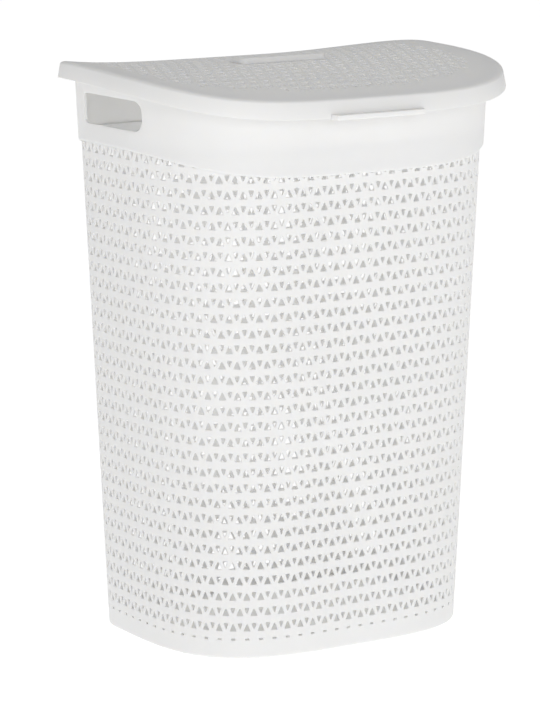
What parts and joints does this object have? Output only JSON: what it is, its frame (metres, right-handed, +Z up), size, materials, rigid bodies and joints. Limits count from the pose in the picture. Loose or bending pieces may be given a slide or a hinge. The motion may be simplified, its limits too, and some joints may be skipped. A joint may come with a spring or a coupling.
{
  "type": "laundry hamper with lid",
  "caption": "Tall D-shaped plastic laundry hamper with tapered perforated walls, a plain collar with hand slots, and a curved perforated lid hinged at the flat back.",
  "frame": {"origin": "bottom centre of the bounding box, on the floor", "axes": "+Z up, front with the lift tab towards -Y, flat back with the lid hinges towards +Y, X along the hinge axis"},
  "size_m": [0.4472, 0.3468, 0.6049],
  "materials": {
    "white_plastic": "satin moulded polypropylene"
  },
  "bodies": {
    "basket": {"basket_wall": "white_plastic", "basket_floor": "white_plastic", "rim_collar": "white_plastic", "hinge_bracket_left": "white_plastic", "hinge_bracket_right": "white_plastic", "hinge_pin_left": "white_plastic", "hinge_pin_right": "white_plastic"},
    "lid": {"lid_frame": "white_plastic", "lid_panel": "white_plastic", "lid_grip": "white_plastic", "lid_lift_tab": "white_plastic", "lid_knuckle_left": "white_plastic", "lid_knuckle_right": "white_plastic"}
  },
  "joints": [
    {"name": "lid_hinge", "type": "hinge", "parent": "basket", "child": "lid", "pos_m": [0, 0.1643, 0.575], "axis": [-1, 0, 0], "range_deg": [0, 100]}
  ]
}
